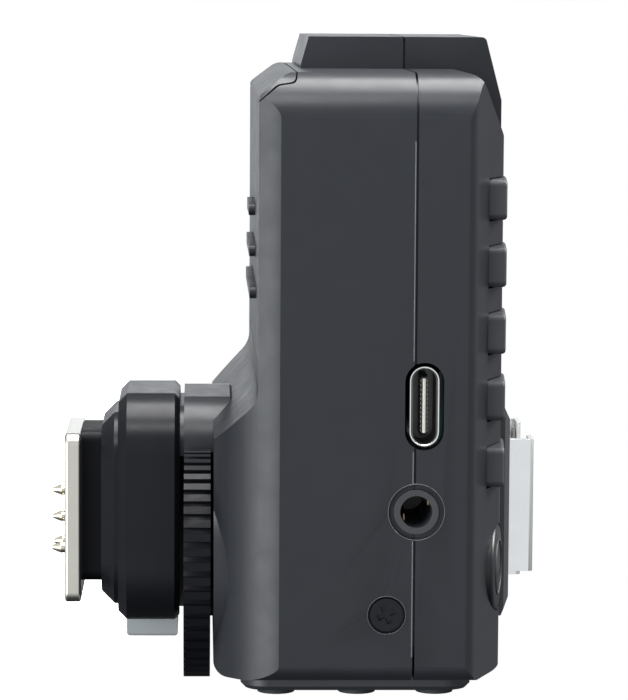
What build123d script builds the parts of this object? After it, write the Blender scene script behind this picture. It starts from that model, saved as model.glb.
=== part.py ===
"""A wireless flash trigger that stands in a camera's accessory shoe and carries a second shoe on top.

Frame, in millimetres: the origin is on the foot plate's underside, on its middle line, +Z is up out of the camera,
-Y is the photographer's side with the screen, +Y the subject's side, and +X the side with the two sockets.
Each piece is a solid of its own in parts/, and the name of its file is the name of the piece.
"""

from build123d import *
import os

os.makedirs("parts", exist_ok=True)

# ---------------------------------------------------------------- driving dimensions
CASE_HALF_WIDTH = 35.0
CASE_REAR = -52.4
CASE_FRONT = 14.9
CASE_BOTTOM = 17.4  # underside over the foot
DOOR_BOTTOM = 22.2  # underside under the batteries
CASE_TOP = 51.0
SEAM_Z = 39.5  # where the two case halves meet
SEAM_GAP = 0.25
RUN = 0.15  # gap round a part that slides or presses

DECK_LEFT, DECK_RIGHT = -29.0, 8.0  # raised screen deck, across
DECK_REAR = -56.1
DECK_FLAT_START = -48.8
DECK_TOP = 50.95
DECK_REAR_TOP = 49.05

FOOT_WIDTH, FOOT_THICK = 18.6, 1.9
FOOT_REAR, FOOT_FRONT = -9.5, 10.5
NECK_TOP = 4.3
NECK_REAR, NECK_FRONT = -9.5, 8.4
FLANGE_TOP = 6.3
HOUSING_TOP = 13.5
BLOCK_BOTTOM = 14.0  # a groove runs round the foot between the housing and the case
HOUSING_HALF_WIDTH = 13.2
HOUSING_REAR, HOUSING_FRONT = -14.15, 12.75

DIAL_X, DIAL_Y = 18.5, 4.15
DIAL_R = 13.0
DIAL_BOTTOM, DIAL_TOP = 14.05, 17.05
DIAL_RIBS = 50

USB_Y, USB_Z = -15.9, 40.5
JACK_Y, JACK_Z = -4.2, 39.7
SIDE_SCREW_Y, SIDE_SCREW_Z = 7.3, 36.5

BUTTON_PITCH = 7.46
BUTTON_MID_Y = -23.5
BUTTON_X0, BUTTON_X1 = 21.6, 30.6
BUTTON_HALF_Y = 2.25
BUTTON_TOP = 49.75
SET_X, SET_Y, SET_R = 25.5, 3.4, 4.9

SHOE_FLOOR = 51.9
SHOE_TOP = 55.0
SHOE_SLOT = 2.2
SHOE_INNER_HALF = 9.4
SHOE_THROAT_HALF = 6.35

SHOE_SHEET_TOP = 52.3
SHOE_OUTER_HALF = 10.6
SHOE_REAR, SHOE_FRONT = -9.2, 6.4

BOARD_BOTTOM, BOARD_TOP = 42.3, 43.3
CELL_YS = (-42.75, -27.95)
CELL_Z, CELL_R = 31.6, 7.1

DOOR_TOP = 23.7
DOOR_FRONT = -19.5
DOOR_HALF_WIDTH = 30.8
DOOR_RIB_Y, DOOR_RIB_PITCH = -35.85, 4.53
DOOR_RIB_HALVES = (7.5, 12.0, 16.0)  # the ribs get longer towards the foot and so point the way the door slides

DIAL_BOSS_R = 13.2  # the case swells into a round boss over the dial
STEM_R = 3.0
JACK_RING_R, JACK_BORE_R = 2.475, 1.775

CAP_BOTTOM, FLANGE_Z = 44.3, 45.2  # a button's flange keeps it from falling out through its hole
GROUP_BUTTON_YS = [BUTTON_MID_Y + step * BUTTON_PITCH for step in (-2, -1, 0, 1, 2)]
FUNCTION_X = 14.6
FUNCTION_BUTTON_YS = (-39.5, -32.5, -25.5, -18.5)
TEST_X, TEST_R = -25.5, 3.4
SWITCH_YS = (-6.0, 5.0)
WINDOW_X0, WINDOW_X1 = -26.6, 5.6
WINDOW_Y0, WINDOW_Y1 = -47.4, -16.6

PLATE_THICK = 1.9
GRIP_ZS = (24.5, 33.6, 42.4)
GRIP_LENGTH, GRIP_WIDTH, GRIP_THICK = 57.5, 4.2, 0.6

LEVER_Y = -0.7
LEVER_BOTTOM, LEVER_TOP = 8.0, 12.4
TAB_BOTTOM, TAB_TOP = 7.2, 13.3
LEVER_PIVOT_R = 1.6
LOCK_PIN_XY = (0.0, 7.4)
LOCK_PIN_R = 0.7
PIN_XYS = ((0.0, 1.5), (0.0, -1.7), (-2.5, 4.9), (2.5, 4.9))
PIN_R, PIN_TOP, PIN_TRAVEL = 0.65, 3.0, 1.4
SHOE_CONTACT_XYS = ((0.0, -0.2), (0.0, -3.4), (-2.5, 3.2), (2.5, 3.2))


def write(node, name):
    """Labels a finished piece and writes its STEP file."""
    node.part.label = name
    export_step(node.part, f"parts/{name}.step")


def block(low, high):
    """A plain block between two corners, kept out of any builder that is open."""
    size = [b - a for a, b in zip(low, high)]
    middle = [(a + b) / 2 for a, b in zip(low, high)]
    return Pos(*middle) * Box(*size, mode=Mode.PRIVATE)


def post(x, y, low, high, radius):
    """An upright cylinder between two heights, kept out of any builder that is open."""
    return Pos(x, y, (low + high) / 2) * Cylinder(radius, high - low, mode=Mode.PRIVATE)


def bar(y, z, low, high, radius):
    """A cylinder across the case between two distances from its middle, kept out of any open builder."""
    return Pos((low + high) / 2, y, z) * Rot(0, 90, 0) * Cylinder(radius, high - low, mode=Mode.PRIVATE)


def rounded_port(y, z, length, height, low, high):
    """A bar across the case with the rounded-slot section of the charging socket."""
    with BuildPart(mode=Mode.PRIVATE) as port:
        with BuildSketch(Plane.YZ.offset(low)):
            with Locations((y, z)):
                SlotOverall(length, height)
        extrude(amount=high - low)
    return port.part


# ---------------------------------------------------------------- the case's outer form
with BuildPart() as case:
    # Seen from the front: flat below, rounded flanks, and shoulders that fall away from the top.
    with BuildSketch(Plane.XZ) as section:
        with BuildLine():
            Polyline((0, CASE_TOP), (0, CASE_BOTTOM), (29.2, CASE_BOTTOM))
            ThreePointArc((29.2, CASE_BOTTOM), (32.9, 20.3), (CASE_HALF_WIDTH, 24.6))
            Polyline((CASE_HALF_WIDTH, 24.6), (CASE_HALF_WIDTH, 46.0), (26.0, 49.7), (10.0, 50.9), (0, CASE_TOP))
        make_face()
        fillet(section.vertices().sort_by_distance((26.0, 49.7, 0))[0], 6)
        fillet(section.vertices().sort_by_distance((CASE_HALF_WIDTH, 46.0, 0))[0], 1.2)
        mirror(about=Plane.YZ)
    extrude(amount=100, both=True)
    # Seen from the side: deep over the foot, shallower over the batteries, bevelled behind.
    with BuildSketch(Plane.YZ) as profile:
        with BuildLine():
            Polyline(
                (-11.5, CASE_BOTTOM),
                (CASE_FRONT, CASE_BOTTOM),
                (CASE_FRONT, CASE_TOP),
                (-42.55, CASE_TOP),
                (CASE_REAR, 46.5),
                (CASE_REAR, 25.4),
                (-49.9, DOOR_BOTTOM),
                (-16.25, DOOR_BOTTOM),
                close=True,
            )
        make_face()
        fillet(profile.vertices().sort_by_distance((CASE_REAR, 46.5, 0))[0], 2.5)
        fillet(profile.vertices().sort_by_distance((CASE_REAR, 25.4, 0))[0], 2.0)
        fillet(profile.vertices().sort_by_distance((-49.9, DOOR_BOTTOM, 0))[0], 0.8)
        fillet(profile.vertices().sort_by_distance((-16.25, DOOR_BOTTOM, 0))[0], 3.0)
        fillet(profile.vertices().sort_by_distance((CASE_FRONT, CASE_BOTTOM, 0))[0], 1.4)
        fillet(profile.vertices().sort_by_distance((CASE_FRONT, CASE_TOP, 0))[0], 2.4)
    extrude(amount=100, both=True, mode=Mode.INTERSECT)
    # Seen from above: wide radii behind, small ones in front.
    with BuildSketch() as plan:
        with Locations((0, (CASE_REAR + CASE_FRONT) / 2)):
            Rectangle(2 * CASE_HALF_WIDTH, CASE_FRONT - CASE_REAR)
        fillet(plan.vertices().group_by(Axis.Y)[0], 5.0)
        fillet(plan.vertices().group_by(Axis.Y)[-1], 1.8)
    extrude(amount=100, mode=Mode.INTERSECT)
    # The screen deck stands up out of the top and back.
    with BuildSketch(Plane.YZ.offset(DECK_LEFT)) as deck:
        with BuildLine():
            Polyline(
                (-50.0, 27.45),
                (-52.8, 27.45),
                (DECK_REAR, 28.4),
                (DECK_REAR, DECK_REAR_TOP),
                (DECK_FLAT_START, DECK_TOP),
                (-14.0, DECK_TOP),
                (-14.0, 46.0),
                (-50.0, 46.0),
                close=True,
            )
        make_face()
        fillet(deck.vertices().sort_by_distance((DECK_REAR, DECK_REAR_TOP, 0))[0], 0.6)
    extrude(amount=DECK_RIGHT - DECK_LEFT)
    # The block under the case that carries the foot.
    with BuildSketch(Plane.XY.offset(HOUSING_TOP)):
        with Locations((0, (HOUSING_REAR + HOUSING_FRONT) / 2)):
            RectangleRounded(2 * HOUSING_HALF_WIDTH - 3.4, HOUSING_FRONT - HOUSING_REAR - 3.0, 5)
    extrude(amount=BLOCK_BOTTOM - HOUSING_TOP + 1)
    with BuildSketch(Plane.XY.offset(BLOCK_BOTTOM)):
        with Locations((0, (HOUSING_REAR + HOUSING_FRONT) / 2)):
            RectangleRounded(2 * HOUSING_HALF_WIDTH - 1.2, HOUSING_FRONT - HOUSING_REAR - 0.8, 6)
    extrude(amount=CASE_BOTTOM - BLOCK_BOTTOM + 2)
    add(post(DIAL_X, DIAL_Y, DIAL_BOTTOM - 1, CASE_BOTTOM, DIAL_R + 0.4), mode=Mode.SUBTRACT)
    add(post(DIAL_X, DIAL_Y, CASE_BOTTOM, CASE_BOTTOM + 2.6, DIAL_BOSS_R) - block((0, 12, 0), (60, 60, 60)))

with BuildPart() as cavity:
    with BuildSketch(Plane.XZ):
        with BuildLine():
            Polyline((-33, 24.2), (33, 24.2), (33, 45.2), (25.5, 47.6), (0, 49), (-25.5, 47.6), (-33, 45.2), close=True)
        make_face()
    extrude(amount=100, both=True)
    with BuildSketch(Plane.YZ):
        with BuildLine():
            Polyline((-51.0, 24.2), (12.7, 24.2), (12.7, 49.5), (-42.0, 49.5), (-51.0, 44.6), close=True)
        make_face()
    extrude(amount=100, both=True, mode=Mode.INTERSECT)
    fillet(cavity.edges().filter_by(Axis.Z).group_by(Axis.Y)[0], 3.6)
    add(block((-26, -10, 20.6), (26, 12.7, 24.4)))
    add(block((DECK_LEFT + 1.8, -54.3, 30.2), (DECK_RIGHT - 1.8, -45, 46)))
    add(block((DECK_LEFT + 1.8, -48.5, 45), (DECK_RIGHT - 1.8, -16, 49.2)))

# ---------------------------------------------------------------- the battery door
def door_shape(gap):
    """The solid that the door fills, grown by gap: a slab under the batteries and a wedge round the rear corner."""
    with BuildPart(mode=Mode.PRIVATE) as shape:
        with BuildSketch(Plane.YZ):
            with BuildLine():
                Polyline(
                    (-60, 20),
                    (DOOR_FRONT + gap, 20),
                    (DOOR_FRONT + gap, DOOR_TOP + gap),
                    (-50.9 + gap, DOOR_TOP + gap),
                    (-50.9 + gap, 26.2 + gap),
                    (-60, 27.0 + gap),
                    close=True,
                )
            make_face()
        extrude(amount=DOOR_HALF_WIDTH + gap, both=True)
        with BuildSketch(Plane.YZ) as wedge:
            with BuildLine():
                Polyline(
                    (-60, 20),
                    (-49.4 + gap, 20),
                    (-49.4 + gap, 22.3),
                    (-51.1 + gap, 24.2 + gap),
                    (-51.4 + gap, 26.2 + gap),
                    (-60, 27.0 + gap),
                    close=True,
                )
            make_face()
            fillet(wedge.vertices().sort_by_distance((-51.4 + gap, 26.2 + gap, 0))[0], 0.7)
            fillet(wedge.vertices().sort_by_distance((-51.1 + gap, 24.2 + gap, 0))[0], 1.2)
        extrude(amount=CASE_HALF_WIDTH + 1, both=True)
    return shape.part


with BuildPart() as battery_door:
    add(case.part)
    add(door_shape(0), mode=Mode.INTERSECT)
    for index, half_length in enumerate(DOOR_RIB_HALVES):
        rib_y = DOOR_RIB_Y + index * DOOR_RIB_PITCH
        with BuildSketch(Plane.XY.offset(DOOR_BOTTOM - 0.7)):
            with Locations((0, rib_y)):
                SlotOverall(2 * half_length, 1.35)
        extrude(amount=1.0)
write(battery_door, "battery_door")

# ---------------------------------------------------------------- the two case halves
with BuildPart() as seam_groove:
    with BuildSketch(Plane.XY.offset(SEAM_Z - SEAM_GAP / 2)):
        Rectangle(200, 200)
        with Locations((0, (CASE_REAR + CASE_FRONT) / 2)):
            RectangleRounded(2 * CASE_HALF_WIDTH - 1.4, CASE_FRONT - CASE_REAR - 1.4, 3.8, mode=Mode.SUBTRACT)
        with Locations(((DECK_LEFT + DECK_RIGHT) / 2, DECK_REAR + 5.7)):
            Rectangle(DECK_RIGHT - DECK_LEFT - 1.4, 10, mode=Mode.SUBTRACT)
    extrude(amount=SEAM_GAP)

SPLIT = block((-60, -80, 0), (60, 40, SEAM_Z))

with BuildPart() as lower_shell:
    add(case.part)
    add(SPLIT, mode=Mode.INTERSECT)
    add(cavity.part, mode=Mode.SUBTRACT)
    add(seam_groove.part, mode=Mode.SUBTRACT)
    add(door_shape(RUN), mode=Mode.SUBTRACT)
    add(post(DIAL_X, DIAL_Y, DIAL_TOP, 21, STEM_R + 0.35), mode=Mode.SUBTRACT)
    add(rounded_port(USB_Y, USB_Z, 9.7, 4.3, 32, 36), mode=Mode.SUBTRACT)
    add(bar(JACK_Y, JACK_Z, 32, 36, JACK_RING_R + 0.02), mode=Mode.SUBTRACT)
    add(bar(JACK_Y, JACK_Z, 34.5, 36, 3.1), mode=Mode.SUBTRACT)
    add(bar(SIDE_SCREW_Y, SIDE_SCREW_Z, 34.1, 36, 2.08), mode=Mode.SUBTRACT)
    add(bar(SIDE_SCREW_Y, SIDE_SCREW_Z, 32, 34.2, 1.0), mode=Mode.SUBTRACT)
    for switch_y in SWITCH_YS:
        add(block((-36, switch_y - 4.2, 34.4), (-32, switch_y + 4.2, 37.2)), mode=Mode.SUBTRACT)
write(lower_shell, "lower_shell")

with BuildPart() as upper_shell:
    add(case.part)
    add(SPLIT, mode=Mode.SUBTRACT)
    add(cavity.part, mode=Mode.SUBTRACT)
    add(seam_groove.part, mode=Mode.SUBTRACT)
    add(rounded_port(USB_Y, USB_Z, 9.7, 4.3, 32, 36), mode=Mode.SUBTRACT)
    add(bar(JACK_Y, JACK_Z, 32, 36, JACK_RING_R + 0.02), mode=Mode.SUBTRACT)
    add(bar(JACK_Y, JACK_Z, 34.5, 36, 3.1), mode=Mode.SUBTRACT)
    add(block((-14.05, -13.85, 49.4), (14.05, 11.15, 60)), mode=Mode.SUBTRACT)
    add(block((WINDOW_X0, WINDOW_Y0, 45), (WINDOW_X1, WINDOW_Y1, 60)), mode=Mode.SUBTRACT)
    for button_y in GROUP_BUTTON_YS:
        low = (BUTTON_X0 - RUN, button_y - BUTTON_HALF_Y - RUN, 44)
        high = (BUTTON_X1 + RUN, button_y + BUTTON_HALF_Y + RUN, 60)
        add(block(low, high), mode=Mode.SUBTRACT)
    for button_y in FUNCTION_BUTTON_YS:
        low = (FUNCTION_X - 2.2 - RUN, button_y - 1.6 - RUN, 44)
        high = (FUNCTION_X + 2.2 + RUN, button_y + 1.6 + RUN, 60)
        add(block(low, high), mode=Mode.SUBTRACT)
    add(post(SET_X, SET_Y, 44, 60, SET_R + RUN), mode=Mode.SUBTRACT)
    add(post(TEST_X, SET_Y, 44, 60, TEST_R + RUN), mode=Mode.SUBTRACT)
write(upper_shell, "upper_shell")

with BuildPart() as front_plate:
    with BuildSketch(Plane.XZ.offset(-CASE_FRONT)):
        with Locations((0, 33.45)):
            RectangleRounded(60, 25.9, 3)
    extrude(amount=-PLATE_THICK)
    chamfer(front_plate.faces().sort_by(Axis.Y)[-1].edges(), 0.5)
write(front_plate, "front_plate")

for index, grip_z in enumerate(GRIP_ZS):
    with BuildPart() as front_grip:
        with BuildSketch(Plane.XZ.offset(-CASE_FRONT - PLATE_THICK)):
            with Locations((0, grip_z)):
                SlotOverall(GRIP_LENGTH, GRIP_WIDTH)
        extrude(amount=-GRIP_THICK)
    write(front_grip, f"front_grip_{index + 1}")

# ---------------------------------------------------------------- screen, boards and cells inside the case
with BuildPart() as screen_window:
    add(block((WINDOW_X0 + 0.05, WINDOW_Y0 + 0.05, 49.4), (WINDOW_X1 - 0.05, WINDOW_Y1 - 0.05, 50.85)))
write(screen_window, "screen_window")

with BuildPart() as lcd_module:
    add(block((-26.5, -47.0, 46.6), (5.5, -17.0, 49.2)))
    add(block((-20, -40, BOARD_TOP), (0, -24, 46.6)))
write(lcd_module, "lcd_module")

with BuildPart() as main_board:
    add(block((-31.5, -44.5, BOARD_BOTTOM), (31.5, 11.5, BOARD_TOP)))
    fillet(main_board.edges().filter_by(Axis.Z), 2)
write(main_board, "main_board")

with BuildPart() as keypad_membrane:
    add(block((BUTTON_X0 - 1, -42, BOARD_TOP), (31.4, 8.5, BOARD_TOP + 0.3)))
    add(block((FUNCTION_X - 3, -42, BOARD_TOP), (BUTTON_X0, -14.5, BOARD_TOP + 0.3)))
write(keypad_membrane, "keypad_membrane")

with BuildPart() as radio_board:
    add(block((-31, -9, 30.6), (-10, 11.5, 31.6)))
write(radio_board, "radio_board")

with BuildPart() as antenna:
    add(block((-30, 8.2, 31.6), (-11, 10.2, 32.4)))
    add(block((-30, 2, 31.6), (-28, 8.2, 32.4)))
write(antenna, "antenna")

with BuildPart() as battery_tray:
    add(block((-28, -50.45, 24.2), (28, -19.9, 40.0)))
    add(block((-26.9, -50.0, 24.0), (26.9, -20.5, 38.9)), mode=Mode.SUBTRACT)
write(battery_tray, "battery_tray")

for side, name in ((-1, "battery_contact_left"), (1, "battery_contact_right")):
    with BuildPart() as battery_contact:
        with BuildSketch(Plane.YZ.offset(side * 26.35)):
            for cell_y in CELL_YS:
                with Locations((cell_y, CELL_Z)):
                    RectangleRounded(9, 9, 1)
            with Locations((sum(CELL_YS) / 2, CELL_Z)):
                Rectangle(9, 3)
        extrude(amount=side * 0.5)
    write(battery_contact, name)

for index, cell_y in enumerate(CELL_YS):
    towards = 1 - 2 * index
    with BuildPart() as battery:
        add(bar(cell_y, CELL_Z, -24.8, 24.8, CELL_R))
        fillet(battery.edges(), 0.5)
        add(bar(cell_y, CELL_Z, *sorted((towards * 24.8, towards * 25.9)), 2.7))
    write(battery, f"battery_{index + 1}")

# ---------------------------------------------------------------- buttons and switches
def sloped_cap(x0, x1, slope_high, slope_low):
    """A prism across the case whose top falls from slope_high at x0 to slope_low at x1."""
    with BuildPart(mode=Mode.PRIVATE) as prism:
        with BuildSketch(Plane.XZ):
            with BuildLine():
                Polyline((x0, CAP_BOTTOM), (x1, CAP_BOTTOM), (x1, slope_low), (x0, slope_high), close=True)
            make_face()
        extrude(amount=100, both=True)
    return prism.part


for index, button_y in enumerate(GROUP_BUTTON_YS):
    with BuildPart() as group_button:
        add(block((BUTTON_X0, button_y - BUTTON_HALF_Y, 40), (BUTTON_X1, button_y + BUTTON_HALF_Y, 60)))
        fillet(group_button.edges().filter_by(Axis.Z), 0.7)
        add(sloped_cap(BUTTON_X0, BUTTON_X1, BUTTON_TOP + 0.65, BUTTON_TOP), mode=Mode.INTERSECT)
        fillet(group_button.faces().sort_by(Axis.Z)[-1].edges(), 0.4)
        low = (BUTTON_X0 - 0.6, button_y - BUTTON_HALF_Y - 0.6, CAP_BOTTOM)
        high = (BUTTON_X1 + 0.6, button_y + BUTTON_HALF_Y + 0.6, FLANGE_Z)
        add(block(low, high))
    write(group_button, f"group_button_{index + 1}")

for index, button_y in enumerate(FUNCTION_BUTTON_YS):
    with BuildPart() as function_button:
        add(block((FUNCTION_X - 2.2, button_y - 1.6, CAP_BOTTOM), (FUNCTION_X + 2.2, button_y + 1.6, 50.45)))
        fillet(function_button.edges().filter_by(Axis.Z), 0.9)
        fillet(function_button.faces().sort_by(Axis.Z)[-1].edges(), 0.3)
        low = (FUNCTION_X - 2.8, button_y - 2.2, CAP_BOTTOM)
        add(block(low, (FUNCTION_X + 2.8, button_y + 2.2, FLANGE_Z)))
    write(function_button, f"function_button_{index + 1}")

with BuildPart() as set_button:
    add(post(SET_X, SET_Y, CAP_BOTTOM, 60, SET_R))
    add(sloped_cap(SET_X - SET_R - 1, SET_X + SET_R + 1, 50.7, 48.5), mode=Mode.INTERSECT)
    fillet(set_button.faces().sort_by(Axis.Z)[-1].edges(), 0.5)
    add(post(SET_X, SET_Y, CAP_BOTTOM, FLANGE_Z, SET_R + 0.6))
write(set_button, "set_button")

with BuildPart() as test_button:
    add(post(TEST_X, SET_Y, CAP_BOTTOM, 60, TEST_R))
    add(sloped_cap(TEST_X - TEST_R - 1, TEST_X + TEST_R + 1, 49.4, 50.8), mode=Mode.INTERSECT)
    fillet(test_button.faces().sort_by(Axis.Z)[-1].edges(), 0.5)
    add(post(TEST_X, SET_Y, CAP_BOTTOM, FLANGE_Z, TEST_R + 0.6))
write(test_button, "test_button")

for switch_y, name in zip(SWITCH_YS, ("power_switch", "assist_lamp_switch")):
    with BuildPart() as switch:
        add(block((-36.0, switch_y - 3.9, 34.6), (-32.8, switch_y - 0.9, 37.0)))
        fillet(switch.faces().sort_by(Axis.X)[0].edges(), 0.4)
        add(block((-32.7, switch_y - 5.4, 33.8), (-31.9, switch_y + 0.6, 37.8)))
        add(block((-33.0, switch_y - 3.9, 34.6), (-32.6, switch_y - 0.9, 37.0)))
    write(switch, name)

# ---------------------------------------------------------------- side sockets and screw
with BuildPart() as usb_shell:
    add(rounded_port(USB_Y, USB_Z, 8.9, 3.3, 28.2, 34.7))
    add(rounded_port(USB_Y, USB_Z, 8.34, 2.56, 28.9, 36), mode=Mode.SUBTRACT)
write(usb_shell, "usb_shell")

with BuildPart() as usb_tongue:
    add(block((28.9, USB_Y - 3.35, USB_Z - 0.35), (33.9, USB_Y + 3.35, USB_Z + 0.35)))
    fillet(usb_tongue.faces().sort_by(Axis.X)[-1].edges().filter_by(Axis.Z), 0.5)
write(usb_tongue, "usb_tongue")

with BuildPart() as sync_jack:
    add(block((19.6, JACK_Y - 3, JACK_Z - 2.5), (32.9, JACK_Y + 3, JACK_Z + 2.5)))
    add(bar(JACK_Y, JACK_Z, 32.9, 34.9, JACK_RING_R))
    add(bar(JACK_Y, JACK_Z, 20.6, 35, JACK_BORE_R), mode=Mode.SUBTRACT)
write(sync_jack, "sync_jack")

with BuildPart() as side_screw:
    add(bar(SIDE_SCREW_Y, SIDE_SCREW_Z, 34.1, 34.75, 1.83))
    add(bar(SIDE_SCREW_Y, SIDE_SCREW_Z, 29, 34.1, 1.0))
    with BuildSketch(Plane.YZ.offset(34.75)):
        with Locations((SIDE_SCREW_Y, SIDE_SCREW_Z)):
            Rectangle(2.1, 0.63, rotation=22)
            Rectangle(2.1, 0.63, rotation=112)
    extrude(amount=-0.45, mode=Mode.SUBTRACT)
write(side_screw, "side_screw")

# ---------------------------------------------------------------- select dial
with BuildPart() as select_dial:
    with BuildSketch(Plane.XY.offset(DIAL_BOTTOM)):
        with Locations((DIAL_X, DIAL_Y)):
            Circle(DIAL_R - 0.45)
            with PolarLocations(DIAL_R - 0.45, DIAL_RIBS):
                Rectangle(0.9, 0.9)
    extrude(amount=DIAL_TOP - DIAL_BOTTOM)
    add(post(DIAL_X, DIAL_Y, DIAL_TOP - 1, 24.0, STEM_R))
write(select_dial, "select_dial")

with BuildPart() as encoder:
    add(block((DIAL_X - 6, DIAL_Y - 6, 20.7), (DIAL_X + 6, DIAL_Y + 6, 25.4)))
    add(post(DIAL_X, DIAL_Y, 20, 24.4, STEM_R + 0.05), mode=Mode.SUBTRACT)
write(encoder, "encoder")

# ---------------------------------------------------------------- foot
HOUSING_MID_Y = (HOUSING_REAR + HOUSING_FRONT) / 2

with BuildPart() as foot_housing:
    with BuildSketch(Plane.XY.offset(FLANGE_TOP)):
        with Locations((0, HOUSING_MID_Y)):
            RectangleRounded(2 * HOUSING_HALF_WIDTH, HOUSING_FRONT - HOUSING_REAR, 6.5)
    extrude(amount=HOUSING_TOP - FLANGE_TOP)
    chamfer(foot_housing.faces().sort_by(Axis.Z)[-1].edges(), 0.6)
    chamfer(foot_housing.faces().sort_by(Axis.Z)[0].edges(), 1.0)
    add(post(0, LEVER_Y, LEVER_BOTTOM - 0.4, LEVER_TOP + 0.4, 9.5), mode=Mode.SUBTRACT)
    low = (-9.6, LEVER_Y, LEVER_BOTTOM - 0.4)
    add(block(low, (4.0, HOUSING_FRONT + 1, LEVER_TOP + 0.4)), mode=Mode.SUBTRACT)
    add(block((-9.9, 9.3, TAB_BOTTOM - 0.25), (4.8, HOUSING_FRONT + 1, HOUSING_TOP + 1)), mode=Mode.SUBTRACT)
    add(post(0, LEVER_Y, LEVER_BOTTOM - 0.4, LEVER_TOP + 0.4, LEVER_PIVOT_R))
    add(post(*LOCK_PIN_XY, FLANGE_TOP - 1, LEVER_BOTTOM, LOCK_PIN_R + 0.1), mode=Mode.SUBTRACT)
write(foot_housing, "foot_housing")

with BuildPart() as lock_lever:
    add(post(0, LEVER_Y, LEVER_BOTTOM, LEVER_TOP, 5.0))
    add(block((-3.4, LEVER_Y, LEVER_BOTTOM), (3.4, HOUSING_FRONT + 1, LEVER_TOP)))
    add(block((-4.4, HOUSING_FRONT + 0.35, TAB_BOTTOM), (4.4, HOUSING_FRONT + 2.6, TAB_TOP)))
    fillet(lock_lever.faces().sort_by(Axis.Y)[-1].edges(), 0.5)
    add(post(0, LEVER_Y, 0, 30, LEVER_PIVOT_R + 0.05), mode=Mode.SUBTRACT)
write(lock_lever, "lock_lever")

with BuildPart() as lock_pin:
    add(post(*LOCK_PIN_XY, 0.2, LEVER_BOTTOM - 0.4, LOCK_PIN_R))
    chamfer(lock_pin.faces().sort_by(Axis.Z)[0].edges(), 0.25)
write(lock_pin, "lock_pin")

with BuildPart() as foot_flange:
    with BuildSketch(Plane.XY.offset(NECK_TOP)):
        with Locations((0, -0.35)):
            RectangleRounded(22, 22.8, 5.5)
    extrude(amount=FLANGE_TOP - NECK_TOP)
    chamfer(foot_flange.faces().sort_by(Axis.Z)[0].edges(), 1.5)
    for pin_x, pin_y in PIN_XYS:
        add(post(pin_x, pin_y, 0, PIN_TOP + 0.2 + PIN_TRAVEL, PIN_R + 0.1), mode=Mode.SUBTRACT)
    add(post(*LOCK_PIN_XY, 0, 8, LOCK_PIN_R + 0.1), mode=Mode.SUBTRACT)
write(foot_flange, "foot_flange")

with BuildPart() as foot_neck:
    add(block((-6.25, NECK_REAR, FOOT_THICK), (6.25, NECK_FRONT, NECK_TOP)))
    fillet(foot_neck.edges().filter_by(Axis.Z), 1.2)
    for pin_x, pin_y in PIN_XYS:
        add(post(pin_x, pin_y, 0, 8, PIN_R + 0.1), mode=Mode.SUBTRACT)
    add(post(*LOCK_PIN_XY, 0, 8, LOCK_PIN_R + 0.1), mode=Mode.SUBTRACT)
write(foot_neck, "foot_neck")

with BuildPart() as foot_plate:
    add(block((-FOOT_WIDTH / 2, FOOT_REAR, 0), (FOOT_WIDTH / 2, FOOT_FRONT, FOOT_THICK)))
    fillet(foot_plate.edges().filter_by(Axis.Z), 1.2)
    fillet(foot_plate.edges().group_by(Axis.Z)[-1], 0.35)
    fillet(foot_plate.edges().group_by(Axis.Z)[0], 0.35)
    add(block((-6.0, -3.6, -1), (6.0, 6.1, 3)), mode=Mode.SUBTRACT)
    add(post(*LOCK_PIN_XY, -1, 3, LOCK_PIN_R + 0.1), mode=Mode.SUBTRACT)
write(foot_plate, "foot_plate")

with BuildPart() as contact_block:
    add(block((-5.95, -3.55, 0), (5.95, 6.05, FOOT_THICK)))
    for pin_x, pin_y in PIN_XYS:
        add(post(pin_x, pin_y, -1, 3, PIN_R + 0.1), mode=Mode.SUBTRACT)
write(contact_block, "contact_block")

for index, (pin_x, pin_y) in enumerate(PIN_XYS):
    with BuildPart() as contact_pin:
        add(post(pin_x, pin_y, -0.7, PIN_TOP, PIN_R))
        with Locations((pin_x, pin_y, -1.2)):
            Cone(0.25, PIN_R, 1.0)
    write(contact_pin, f"contact_pin_{index + 1}")

# ---------------------------------------------------------------- accessory shoe on top
with BuildPart() as shoe_platform:
    with BuildSketch(Plane.YZ) as platform_side:
        with BuildLine():
            Polyline((-13.8, 49.4), (11.1, 49.4), (11.1, 51.0), (8.9, SHOE_FLOOR), (-11.9, SHOE_FLOOR), (-13.8, 51.0), close=True)
        make_face()
    extrude(amount=14, both=True)
    chamfer(shoe_platform.edges().filter_by(Axis.Y).group_by(Axis.Z)[-1], 0.6)
write(shoe_platform, "shoe_platform")

with BuildPart() as shoe_rails:
    with BuildSketch(Plane.XZ.offset(-SHOE_FRONT)) as rail_section:
        with Locations((0, (SHOE_FLOOR + SHOE_TOP) / 2)):
            Rectangle(2 * SHOE_OUTER_HALF, SHOE_TOP - SHOE_FLOOR)
        fillet(rail_section.vertices().group_by(Axis.Y)[-1], 0.5)
        with Locations((0, SHOE_SHEET_TOP + SHOE_SLOT / 2)):
            Rectangle(2 * SHOE_INNER_HALF, SHOE_SLOT, mode=Mode.SUBTRACT)
        with Locations((0, SHOE_TOP)):
            Rectangle(2 * SHOE_THROAT_HALF, 2 * (SHOE_TOP - SHOE_SHEET_TOP - SHOE_SLOT) + 0.1, mode=Mode.SUBTRACT)
    extrude(amount=SHOE_FRONT - SHOE_REAR)
    add(block((-6.0, -7.2, SHOE_FLOOR - 1), (6.0, 5.0, SHOE_SHEET_TOP + 1)), mode=Mode.SUBTRACT)
write(shoe_rails, "shoe_rails")

with BuildPart() as shoe_stop:
    add(block((-7.0, SHOE_FRONT + 0.02, SHOE_FLOOR), (7.0, SHOE_FRONT + 1.0, SHOE_SHEET_TOP + 1.6)))
    fillet(shoe_stop.edges().filter_by(Axis.Y).group_by(Axis.Z)[-1], 0.6)
write(shoe_stop, "shoe_stop")

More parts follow.
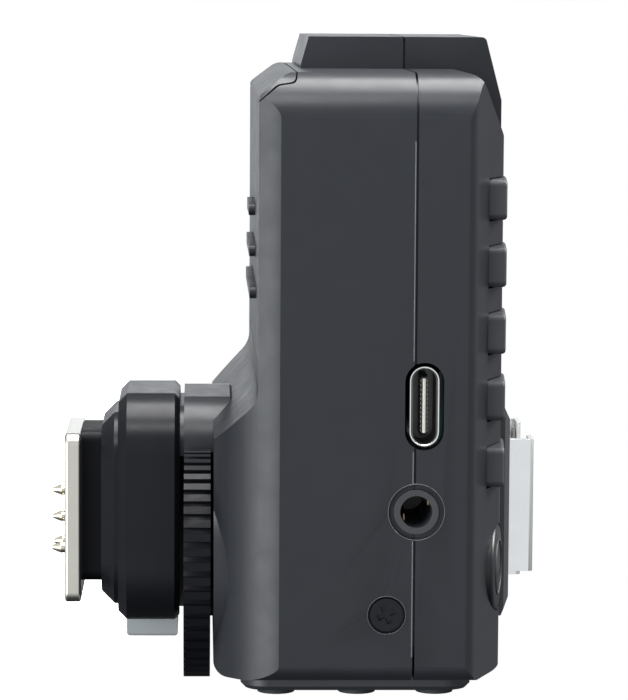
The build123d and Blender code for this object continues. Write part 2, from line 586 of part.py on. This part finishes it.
with BuildPart() as shoe_insulator:
    add(block((-5.95, -7.15, SHOE_FLOOR), (5.95, 4.95, SHOE_SHEET_TOP - 0.05)))
    for pin_x, pin_y in SHOE_CONTACT_XYS:
        add(post(pin_x, pin_y, 50, 55, 1.0), mode=Mode.SUBTRACT)
write(shoe_insulator, "shoe_insulator")

for index, (pin_x, pin_y) in enumerate(SHOE_CONTACT_XYS):
    with BuildPart() as shoe_contact:
        add(post(pin_x, pin_y, SHOE_FLOOR, SHOE_SHEET_TOP, 0.95))
    write(shoe_contact, f"shoe_contact_{index + 1}")
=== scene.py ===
"""The looks of the wireless flash trigger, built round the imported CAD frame. Metres, in the row's frame."""

import math

import bmesh
import bpy
from mathutils import Matrix, Vector


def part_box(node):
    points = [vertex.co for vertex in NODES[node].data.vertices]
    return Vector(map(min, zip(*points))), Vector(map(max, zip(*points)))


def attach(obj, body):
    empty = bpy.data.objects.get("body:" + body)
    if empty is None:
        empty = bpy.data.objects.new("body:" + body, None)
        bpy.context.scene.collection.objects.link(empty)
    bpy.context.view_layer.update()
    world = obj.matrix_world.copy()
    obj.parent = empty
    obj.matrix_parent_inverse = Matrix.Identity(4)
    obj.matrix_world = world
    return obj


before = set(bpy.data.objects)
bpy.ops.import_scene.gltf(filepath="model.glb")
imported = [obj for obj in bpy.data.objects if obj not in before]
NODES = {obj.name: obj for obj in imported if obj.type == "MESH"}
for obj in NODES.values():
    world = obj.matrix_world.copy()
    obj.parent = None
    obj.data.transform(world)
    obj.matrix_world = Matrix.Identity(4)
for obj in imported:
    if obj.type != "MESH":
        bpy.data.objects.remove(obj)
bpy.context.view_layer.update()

MM = 0.001
SKY_LIGHT = 0.05  # even light from everywhere
SKY_REAR = 1.2  # from the photographer's side
SKY_OVER = 0.45  # from straight above and below
SKY_SIDE = 0.80  # on the side with the sockets
SKY_LOW = 11.0  # a soft lobe from low on that side
SKY_LOW_FOCUS = 18.0
LOW_TOWARDS = (0.73, 0.0, -0.69)
SKY_BACK = 3.4  # a bright card beyond the far side
BACK_EDGE, BACK_FULL = 0.982, 0.998
FLOOR_GLOW = 0.95
FLOOR_Z = -0.0019


# ---------------------------------------------------------------- materials
def new_material(name):
    """A material with its Principled shader, node tree and links."""
    material = bpy.data.materials.new(name)
    material.use_nodes = True
    tree = material.node_tree
    return material, tree, tree.nodes["Principled BSDF"]


def noise(tree, scale, detail=4.0, rough=0.55):
    """A noise texture in object space; scale is in cycles a metre."""
    coords = tree.nodes.new("ShaderNodeTexCoord")
    texture = tree.nodes.new("ShaderNodeTexNoise")
    texture.inputs["Scale"].default_value = scale
    texture.inputs["Detail"].default_value = detail
    texture.inputs["Roughness"].default_value = rough
    tree.links.new(coords.outputs["Object"], texture.inputs["Vector"])
    return texture


def ramp(tree, source, stops):
    """A colour ramp from (position, grey or colour) pairs."""
    node = tree.nodes.new("ShaderNodeValToRGB")
    while len(node.color_ramp.elements) < len(stops):
        node.color_ramp.elements.new(0.5)
    for element, (position, colour) in zip(node.color_ramp.elements, stops):
        element.position = position
        element.color = (*colour, 1.0) if hasattr(colour, "__len__") else (colour, colour, colour, 1.0)
    tree.links.new(source, node.inputs["Fac"])
    return node


def mix(tree, factor, first, second):
    """A colour mix of two sockets or colours by a factor socket."""
    node = tree.nodes.new("ShaderNodeMix")
    node.data_type = "RGBA"
    tree.links.new(factor, node.inputs[0])
    for socket, value in ((node.inputs[6], first), (node.inputs[7], second)):
        if hasattr(value, "is_linked"):
            tree.links.new(value, socket)
        else:
            socket.default_value = (*value, 1.0)
    return node.outputs[2]


def plastic(name, colour, rough, grain=9000.0, bump=0.12, edge_highlight_strength=0.5, edge=1.6, mottle=0.10, gloss=0.5):
    """Moulded plastic: fine grain, slight mottling, polish that varies, and sharp edges painted lighter as a
    painted highlight.
    """
    material, tree, shader = new_material(name)
    links = tree.links
    broad = noise(tree, 60.0, 5.0)
    low = tuple(c * (1 - mottle) for c in colour)
    high = tuple(c * (1 + mottle) for c in colour)
    base = ramp(tree, broad.outputs["Fac"], [(0.35, low), (0.65, high)])
    geometry = tree.nodes.new("ShaderNodeNewGeometry")
    # painted highlight: convex edges found by pointiness get a lighter colour, as if they caught the light
    edge_highlight_mask = ramp(tree, geometry.outputs["Pointiness"], [(0.505, 0.0), (0.56, edge_highlight_strength)])
    edge_highlight_colour = tuple(min(1.0, c * edge + 0.004) for c in colour)
    links.new(mix(tree, edge_highlight_mask.outputs["Color"], base.outputs["Color"], edge_highlight_colour), shader.inputs["Base Color"])
    streaks = noise(tree, 420.0, 6.0, 0.6)
    polish = ramp(tree, streaks.outputs["Fac"], [(0.3, rough * 0.88), (0.7, min(1.0, rough * 1.12))])
    links.new(polish.outputs["Color"], shader.inputs["Roughness"])
    fine = noise(tree, grain, 2.0)
    relief = tree.nodes.new("ShaderNodeBump")
    relief.inputs["Strength"].default_value = bump
    relief.inputs["Distance"].default_value = 0.00003
    links.new(fine.outputs["Fac"], relief.inputs["Height"])
    links.new(relief.outputs["Normal"], shader.inputs["Normal"])
    shader.inputs["Specular IOR Level"].default_value = gloss
    return material


def metal(name, colour, rough, scratch=0.06, grain=(1.0, 1.0, 1.0), tint=0.05):
    """Plated or brushed metal with fine drawn marks, a little tarnish and uneven polish."""
    material, tree, shader = new_material(name)
    links = tree.links
    coords = tree.nodes.new("ShaderNodeTexCoord")
    stretch = tree.nodes.new("ShaderNodeMapping")
    stretch.inputs["Scale"].default_value = grain
    links.new(coords.outputs["Object"], stretch.inputs["Vector"])
    marks = tree.nodes.new("ShaderNodeTexNoise")
    marks.inputs["Scale"].default_value = 6000.0
    marks.inputs["Detail"].default_value = 3.0
    links.new(stretch.outputs["Vector"], marks.inputs["Vector"])
    cloud = noise(tree, 240.0, 4.0)
    low = tuple(c * (1 - tint) for c in colour)
    base = ramp(tree, cloud.outputs["Fac"], [(0.3, low), (0.7, colour)])
    links.new(base.outputs["Color"], shader.inputs["Base Color"])
    polish = ramp(tree, marks.outputs["Fac"], [(0.25, rough * 0.85), (0.75, min(1.0, rough * 1.15))])
    links.new(polish.outputs["Color"], shader.inputs["Roughness"])
    relief = tree.nodes.new("ShaderNodeBump")
    relief.inputs["Strength"].default_value = scratch
    relief.inputs["Distance"].default_value = 0.00001
    links.new(marks.outputs["Fac"], relief.inputs["Height"])
    links.new(relief.outputs["Normal"], shader.inputs["Normal"])
    shader.inputs["Metallic"].default_value = 1.0
    return material


MATERIALS = {
    "lower": plastic("lower_shell_plastic", (0.0082, 0.0092, 0.0116), 0.36, gloss=0.28),
    "upper": plastic("upper_shell_plastic", (0.0086, 0.0096, 0.0120), 0.34, gloss=0.29),
    "door": plastic("door_plastic", (0.0084, 0.0094, 0.0118), 0.38, gloss=0.27),
    "foot": plastic("foot_plastic", (0.0022, 0.0025, 0.0036), 0.32, grain=14000, bump=0.05, gloss=0.16),
    "neck": plastic("neck_plastic", (0.0022, 0.0024, 0.0032), 0.45, grain=14000, bump=0.06, gloss=0.08),
    "dial": plastic("dial_plastic", (0.0020, 0.0021, 0.0034), 0.34, grain=14000, bump=0.05, gloss=0.09),
    "lever": plastic("lever_plastic", (0.20, 0.215, 0.22), 0.42, bump=0.06, edge=1.25),
    "button": plastic("button_rubber", (0.030, 0.031, 0.034), 0.55, grain=16000, bump=0.10, gloss=0.35),
    "round_button": plastic(
        "round_button_plastic", (0.010, 0.0105, 0.012),
        0.36, grain=5000, bump=0.02, gloss=0.35,
    ),
    "front": plastic("front_plate_plastic", (0.0125, 0.0140, 0.0165), 0.44, gloss=0.4),
    "rubber": plastic("grip_rubber", (0.012, 0.0125, 0.014), 0.7, grain=7000, bump=0.2, gloss=0.3),
    "socket_black": plastic("socket_plastic", (0.006, 0.006, 0.0065), 0.4, grain=14000, bump=0.04),
    "jack": plastic("jack_plastic", (0.022, 0.023, 0.026), 0.30, grain=14000, bump=0.05, edge=1.3),
    "platform": plastic("platform_plastic", (0.026, 0.027, 0.030), 0.45),
    "board": plastic("board_laminate", (0.014, 0.075, 0.036), 0.35, grain=2500, bump=0.05),
    "display": plastic("display_glass", (0.20, 0.22, 0.17), 0.22, grain=3000, bump=0.02),
    "cell": plastic("cell_wrap", (0.10, 0.12, 0.16), 0.3, grain=3000, bump=0.03),
    "steel": metal("plated_steel", (0.58, 0.56, 0.50), 0.24, grain=(0.2, 1.0, 1.0)),
    "shoe_steel": metal("shoe_steel", (0.95, 0.95, 0.94), 0.22, grain=(1.0, 0.2, 1.0)),
    "gilt": metal("gilt_contact", (0.86, 0.66, 0.34), 0.22, tint=0.2),
    "bright_rim": metal("rim_plating", (0.97, 0.96, 0.93), 0.16),
    # painted shade: the USB shell's steel is given a dark colour in place of its dark reflections
    "dark_steel": metal("shaded_steel", (0.10, 0.10, 0.10), 0.35),
    "tongue_edge": plastic("tongue_edge_plastic", (0.34, 0.33, 0.31), 0.35, grain=14000, bump=0.04),
    "pin": metal("pin_plating", (0.70, 0.64, 0.50), 0.2),
    # painted highlight: light grey for the thin strips that stand for light caught on moulded edges
    "seam_highlight": plastic("seam_highlight_paint", (0.050, 0.053, 0.058), 0.35, grain=14000, bump=0.04),
    "screw": metal("blackened_steel", (0.026, 0.027, 0.030), 0.34, scratch=0.3),
}


def window_material():
    """Smoked clear acrylic for the screen, with faint haze and fine wiping marks."""
    material, tree, shader = new_material("screen_acrylic")
    marks = noise(tree, 700.0, 5.0)
    polish = ramp(tree, marks.outputs["Fac"], [(0.4, 0.05), (0.8, 0.16)])
    tree.links.new(polish.outputs["Color"], shader.inputs["Roughness"])
    cloud = noise(tree, 90.0, 3.0)
    tint = ramp(tree, cloud.outputs["Fac"], [(0.3, (0.030, 0.032, 0.034)), (0.7, (0.040, 0.043, 0.045))])
    tree.links.new(tint.outputs["Color"], shader.inputs["Base Color"])
    shader.inputs["Coat Weight"].default_value = 0.6
    return material


MATERIALS["window"] = window_material()


def paint(material, *names):
    """Gives CAD nodes a material."""
    for name in names:
        slots = NODES[name].data.materials
        slots.clear()
        slots.append(MATERIALS[material])


def numbered(stem, count):
    """The names stem_1 to stem_count."""
    return [f"{stem}_{i}" for i in range(1, count + 1)]


paint("lower", "lower_shell")
paint("upper", "upper_shell")
paint("door", "battery_door")
paint("foot", "foot_housing", "foot_flange")
paint("neck", "foot_neck", "contact_block", "shoe_insulator", "battery_tray", "encoder")
paint("dial", "select_dial")
paint("lever", "lock_lever")
paint("button", *numbered("group_button", 5), *numbered("function_button", 4), "power_switch",
      "assist_lamp_switch", "keypad_membrane")
paint("round_button", "set_button", "test_button")
paint("front", "front_plate")
paint("rubber", *numbered("front_grip", 3))
paint("socket_black", "usb_tongue")
paint("jack", "sync_jack")
paint("platform", "shoe_platform")
paint("board", "main_board", "radio_board")
paint("display", "lcd_module")
paint("cell", *numbered("battery", 2))
# painted shade on the USB shell: its steel is darkened to stand for dark reflections
paint("dark_steel", "usb_shell")
paint("steel", "foot_plate", "lock_pin", "battery_contact_left", "battery_contact_right")
paint("shoe_steel", "shoe_rails", "shoe_stop")
paint("gilt", "antenna", *numbered("shoe_contact", 4))
paint("pin", *numbered("contact_pin", 4))
paint("screw", "side_screw")
paint("window", "screen_window")


def soften(name, width, segments=2, angle=30):
    """Rounds a CAD node's sharp edges as a mould would."""
    node = NODES[name]
    node.modifiers.new("joined_faces", "WELD").merge_threshold = 0.000002
    bevel = node.modifiers.new("mould_radius", "BEVEL")
    bevel.width = width
    bevel.segments = segments
    bevel.limit_method = "ANGLE"
    bevel.angle_limit = math.radians(angle)
    bevel.harden_normals = True


EDGE_RADIUS = 0.09 * MM
for name in ("select_dial", "sync_jack", "side_screw", "shoe_rails"):
    soften(name, EDGE_RADIUS)


# ---------------------------------------------------------------- small pieces
def sweep(form, path, half_wide, half_high, side, closed=False):
    """Sweeps an eight-cornered strip along a path; side is the direction of its width."""
    side = Vector(side).normalized()
    count = len(path)
    rings = []
    for i, point in enumerate(path):
        before = path[i - 1] if closed or i else path[i]
        after = path[(i + 1) % count] if closed or i < count - 1 else path[i]
        along = (after - before).normalized()
        wide = (side - along * side.dot(along)).normalized()
        high = along.cross(wide)
        ring = []
        for a, b in ((1, .5), (.5, 1), (-.5, 1), (-1, .5), (-1, -.5), (-.5, -1), (.5, -1), (1, -.5)):
            ring.append(form.verts.new(point + wide * half_wide * a + high * half_high * b))
        rings.append(ring)
    for i in range(count if closed else count - 1):
        first, second = rings[i], rings[(i + 1) % count]
        for j in range(8):
            form.faces.new((first[j], first[(j + 1) % 8], second[(j + 1) % 8], second[j]))
    if not closed:
        form.faces.new(rings[0])
        form.faces.new(rings[-1])


def swept_piece(name, paths, half_wide, half_high, side, material, body="case", closed=False):
    """A piece of one or more swept strips, riding on a body."""
    data = bpy.data.meshes.new(name)
    form = bmesh.new()
    for path in paths:
        sweep(form, [Vector(point) for point in path], half_wide, half_high, side, closed)
    bmesh.ops.recalc_face_normals(form, faces=form.faces)
    form.to_mesh(data)
    form.free()
    data.materials.append(MATERIALS[material])
    piece = bpy.data.objects.new(name, data)
    bpy.context.scene.collection.objects.link(piece)
    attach(piece, body)
    return piece


def circle(centre, radius, axis, count=48, turns=1.0, end_radius=None, rise=0.0):
    """Points round an axis, as a ring or as a coil that rises and narrows."""
    end_radius = radius if end_radius is None else end_radius
    points = []
    for i in range(count):
        part = i / count
        angle = 2 * math.pi * turns * part
        reach = radius + (end_radius - radius) * part
        flat = (reach * math.cos(angle), reach * math.sin(angle))
        offset = {"X": (rise * part, *flat), "Z": (*flat, rise * part)}[axis]
        points.append(tuple(c + o for c, o in zip(centre, offset)))
    return points


def stadium(x, y, z, length, height, count=14):
    """Points round a rounded slot that lies in the plane across X."""
    radius = height / 2
    reach = length / 2 - radius
    points = []
    for end, start in ((1, 0.0), (-1, math.pi)):
        for i in range(count + 1):
            angle = start + math.pi * i / count
            points.append((x, y + end * reach + radius * math.sin(angle), z + radius * math.cos(angle)))
    return points


def middle(node):
    """The centre of a CAD node's box."""
    low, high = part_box(node)
    return [(a + b) / 2 for a, b in zip(low, high)]


usb_low, usb_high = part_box("usb_shell")
usb_x, usb_y, usb_z = usb_high[0], middle("usb_shell")[1], middle("usb_shell")[2]
rim = stadium(usb_x - 0.02 * MM, usb_y, usb_z, 8.7 * MM, 3.1 * MM)
swept_piece("usb_rim", [rim], 0.12 * MM, 0.11 * MM, (1, 0, 0), "bright_rim", closed=True)
tongue_low, tongue_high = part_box("usb_tongue")
contacts = []
for i in range(12):
    y = usb_y + (i - 5.5) * 0.5 * MM
    for z in (tongue_low[2], tongue_high[2]):
        contacts.append([(tongue_high[0] - 2.6 * MM, y, z), (tongue_high[0] - 0.1 * MM, y, z)])
swept_piece("usb_contacts", contacts, 0.13 * MM, 0.03 * MM, (0, 1, 0), "gilt")
edge_x = tongue_high[0] + 0.01 * MM
edge = [(edge_x, usb_y - 3.0 * MM, usb_z), (edge_x, usb_y + 3.0 * MM, usb_z)]
swept_piece("usb_tongue_edge", [edge], 0.16 * MM, 0.05 * MM, (0, 0, 1), "tongue_edge")

jack_low, jack_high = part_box("sync_jack")
jack_x, jack_y, jack_z = jack_high[0], middle("sync_jack")[1], middle("sync_jack")[2]
springs = [
    [
        (jack_x - 3 * MM, jack_y + 1.1 * MM, jack_z - 1.2 * MM),
        (jack_x - 9 * MM, jack_y + 0.7 * MM, jack_z - 1.0 * MM),
    ],
    [
        (jack_x - 5 * MM, jack_y - 0.5 * MM, jack_z + 1.6 * MM),
        (jack_x - 11 * MM, jack_y - 0.5 * MM, jack_z + 1.1 * MM),
    ],
]
swept_piece("jack_springs", springs, 0.45 * MM, 0.08 * MM, (0, 1, 0), "gilt")

# Painted highlights: thin light strips along the case seam and round the screw and jack holes stand for light
# caught on small moulded radii.
case_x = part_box("lower_shell")[1][0]
seam_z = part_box("lower_shell")[1][2] - 0.19 * MM
seam_runs = ((-45.0, -20.9), (-10.9, -7.4), (-1.0, 12.0))
seam_paths = [[(case_x, a * MM, seam_z), (case_x, b * MM, seam_z)] for a, b in seam_runs]
swept_piece("seam_highlight", seam_paths, 0.06 * MM, 0.03 * MM, (0, 0, 1), "seam_highlight")
screw_low, screw_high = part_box("side_screw")
screw_x, screw_y, screw_z = screw_high[0], middle("side_screw")[1], middle("side_screw")[2]
screw_hole = circle((case_x, screw_y, screw_z), 2.12 * MM, "X", 64)
swept_piece("screw_hole_highlight", [screw_hole], 0.04 * MM, 0.03 * MM, (1, 0, 0), "seam_highlight", closed=True)
jack_hole = circle((case_x, jack_y, jack_z), 3.12 * MM, "X", 64)
swept_piece("jack_hole_highlight", [jack_hole], 0.04 * MM, 0.04 * MM, (1, 0, 0), "seam_highlight", closed=True)

window_low, window_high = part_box("screen_window")
inset = 1.1 * MM
border_z = window_low[2] - 0.05 * MM
x0, x1 = window_low[0] + inset, window_high[0] - inset
y0, y1 = window_low[1] + inset, window_high[1] - inset
border = [
    [(x0 - inset, y0, border_z), (x1 + inset, y0, border_z)],
    [(x0 - inset, y1, border_z), (x1 + inset, y1, border_z)],
    [(x0, y0 - inset, border_z), (x0, y1 + inset, border_z)],
    [(x1, y0 - inset, border_z), (x1, y1 + inset, border_z)],
]
swept_piece("screen_border_across", border[:2], 1.05 * MM, 0.03 * MM, (0, 1, 0), "socket_black")
swept_piece("screen_border_along", border[2:], 1.05 * MM, 0.03 * MM, (1, 0, 0), "socket_black")

for index, contact in ((1, "battery_contact_left"), (2, "battery_contact_right")):
    way = 1 if index == 1 else -1
    plate_low, plate_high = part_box(contact)
    face = plate_high[0] if way == 1 else plate_low[0]
    cell = middle(f"battery_{index}")
    coil = circle((face, cell[1], cell[2]), 3.2 * MM, "X", 120, 4.0, 1.9 * MM, way * 1.35 * MM)
    swept_piece(f"battery_spring_{index}", [coil], 0.2 * MM, 0.2 * MM, (1, 0, 0), "steel")

rail_low, rail_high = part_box("shoe_rails")
leaves = []
for side in (-1, 1):
    leaf = []
    for i in range(17):
        part = i / 16
        y = rail_low[1] + 1.2 * MM + part * (rail_high[1] - rail_low[1] - 2.4 * MM)
        dip = 0.24 * MM * math.sin(math.pi * part)
        leaf.append((side * 7.9 * MM, y, rail_high[2] - 0.68 * MM - dip))
    leaves.append(leaf)
swept_piece("shoe_leaf_springs", leaves, 1.1 * MM, 0.09 * MM, (1, 0, 0), "steel")

for name in ("power_switch", "assist_lamp_switch"):
    switch_low, switch_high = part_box(name)
    ridges = []
    for i in range(3):
        y = switch_low[1] + (2.1 + 0.8 * i) * MM
        ridge_low, ridge_high = switch_low[2] + 1.1 * MM, switch_low[2] + 2.9 * MM
        ridges.append([(switch_low[0], y, ridge_low), (switch_low[0], y, ridge_high)])
    swept_piece(f"{name}_ridges", ridges, 0.16 * MM, 0.14 * MM, (0, 1, 0), "button", body=name)

for name, fall in (("set_button", -2.2 / 11.8), ("test_button", 1.4 / 8.8)):
    cap_low, cap_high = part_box(name)
    cap_x, cap_y, _ = middle(name)
    reach = 0.62 * (cap_high[0] - cap_low[0] - 1.2 * MM) / 2
    level = {"set_button": 49.6, "test_button": 50.1}[name] * MM
    ring = []
    for x, y, z in circle((cap_x, cap_y, level), reach, "Z", 64):
        ring.append((x, y, z + (x - cap_x) * fall))
    swept_piece(f"{name}_ring", [ring], 0.14 * MM, 0.07 * MM, (0, 0, 1), "button", body=name, closed=True)


# ---------------------------------------------------------------- stage, light and camera
def area_light(name, place, target, size, energy, colour=(1, 1, 1)):
    """A soft square light aimed at a point."""
    data = bpy.data.lights.new(name, "AREA")
    data.shape = "RECTANGLE"
    data.size, data.size_y = size
    data.energy = energy
    data.color = colour
    light = bpy.data.objects.new(name, data)
    bpy.context.scene.collection.objects.link(light)
    light.location = place
    light.rotation_euler = (Vector(target) - Vector(place)).to_track_quat("-Z", "Y").to_euler()
    return light


EYE = Vector((0.409, -0.060, 0.0157))
AIM = Vector((0.035, -0.02214, 0.0283))
UP_HINT = Vector((0.0, -1.0, 0.0))
ROLL = math.radians(-0.35)

camera_data = bpy.data.cameras.new("camera")
camera_data.lens = 176.6
camera_data.sensor_width = 36.0
camera_data.clip_start = 0.01
camera = bpy.data.objects.new("camera", camera_data)
bpy.context.scene.collection.objects.link(camera)
forward = (AIM - EYE).normalized()
right = forward.cross(UP_HINT).normalized()
above = right.cross(forward)
turned = Matrix.Rotation(ROLL, 3, forward)
right, above = turned @ right, turned @ above
camera.matrix_world = Matrix((
    (right.x, above.x, -forward.x, EYE.x),
    (right.y, above.y, -forward.y, EYE.y),
    (right.z, above.z, -forward.z, EYE.z),
    (0, 0, 0, 1),
))
bpy.context.scene.camera = camera

world = bpy.data.worlds.new("studio")
world.use_nodes = True
sky = world.node_tree
sky_light = sky.nodes["Background"]
sky_light.inputs["Color"].default_value = (0.94, 0.97, 1.0, 1.0)


def sky_math(operation, first, second=0.0):
    """A math node in the studio's light; each input is a socket or a number."""
    node = sky.nodes.new("ShaderNodeMath")
    node.operation = operation
    for socket, value in zip(node.inputs, (first, second)):
        if hasattr(value, "is_linked"):
            sky.links.new(value, socket)
        else:
            socket.default_value = value
    return node.outputs[0]


direction = sky.nodes.new("ShaderNodeTexCoord")
parts = sky.nodes.new("ShaderNodeSeparateXYZ")
sky.links.new(direction.outputs["Generated"], parts.inputs[0])
behind = sky_math("POWER", sky_math("MAXIMUM", sky_math("MULTIPLY", parts.outputs[1], -1.0), 0.0), 2.0)
over = sky_math("POWER", sky_math("ABSOLUTE", parts.outputs[2]), 2.0)
glow = sky_math("ADD", sky_math("MULTIPLY", behind, SKY_REAR), sky_math("MULTIPLY", over, SKY_OVER))
side = sky_math("POWER", sky_math("MAXIMUM", parts.outputs[0], 0.0), 4.0)
glow = sky_math("ADD", glow, sky_math("MULTIPLY", side, SKY_SIDE))
low_x = sky_math("MULTIPLY", parts.outputs[0], LOW_TOWARDS[0])
low_z = sky_math("MULTIPLY", parts.outputs[2], LOW_TOWARDS[2])
low = sky_math("POWER", sky_math("MAXIMUM", sky_math("ADD", low_x, low_z), 0.0), SKY_LOW_FOCUS)
glow = sky_math("ADD", glow, sky_math("MULTIPLY", low, SKY_LOW))
back = sky.nodes.new("ShaderNodeMapRange")
back.inputs["From Min"].default_value = BACK_EDGE
back.inputs["From Max"].default_value = BACK_FULL
back.inputs["To Max"].default_value = SKY_BACK
sky.links.new(sky_math("MULTIPLY", parts.outputs[0], -1.0), back.inputs["Value"])
glow = sky_math("ADD", glow, back.outputs[0])
sky.links.new(sky_math("ADD", glow, SKY_LIGHT), sky_light.inputs["Strength"])
backdrop = sky.nodes.new("ShaderNodeBackground")
backdrop.inputs["Color"].default_value = (1.0, 1.0, 1.0, 1.0)
backdrop.inputs["Strength"].default_value = 1.0
ray = sky.nodes.new("ShaderNodeLightPath")
choose = sky.nodes.new("ShaderNodeMixShader")
sky.links.new(ray.outputs["Is Camera Ray"], choose.inputs["Fac"])
sky.links.new(sky_light.outputs["Background"], choose.inputs[1])
sky.links.new(backdrop.outputs["Background"], choose.inputs[2])
sky.links.new(choose.outputs["Shader"], sky.nodes["World Output"].inputs["Surface"])
bpy.context.scene.world = world
bpy.context.scene.view_settings.view_transform = "Standard"

floor_mesh = bpy.data.meshes.new("floor")
grid = bmesh.new()
bmesh.ops.create_grid(grid, x_segments=24, y_segments=24, size=3.0)
bmesh.ops.translate(grid, verts=grid.verts, vec=(0, 0, FLOOR_Z))
grid.to_mesh(floor_mesh)
grid.free()
floor = bpy.data.objects.new("floor", floor_mesh)
bpy.context.scene.collection.objects.link(floor)
material, tree, shader = new_material("floor_paper")
paper = noise(tree, 900.0, 3.0)
shade = ramp(tree, paper.outputs["Fac"], [(0.3, 0.93), (0.7, 0.95)])
tree.links.new(shade.outputs["Color"], shader.inputs["Base Color"])
shader.inputs["Roughness"].default_value = 0.95
shader.inputs["Specular IOR Level"].default_value = 0.0
shader.inputs["Emission Color"].default_value = (1.0, 1.0, 1.0, 1.0)
shader.inputs["Emission Strength"].default_value = FLOOR_GLOW
floor_mesh.materials.append(material)
floor.visible_diffuse = False
floor.visible_glossy = False
floor.visible_shadow = False

CENTRE = (0.0, -0.02, 0.03)
area_light("rear_window", (-0.02, -0.55, 0.03), CENTRE, (0.40, 0.30), 5.5)
area_light("top_rear", (-0.06, -0.30, 0.42), CENTRE, (0.25, 0.25), 5.0)
area_light("foot_window", (0.16, -0.20, 0.0), (0.01, 0.0, 0.008), (0.06, 0.10), 0.25)
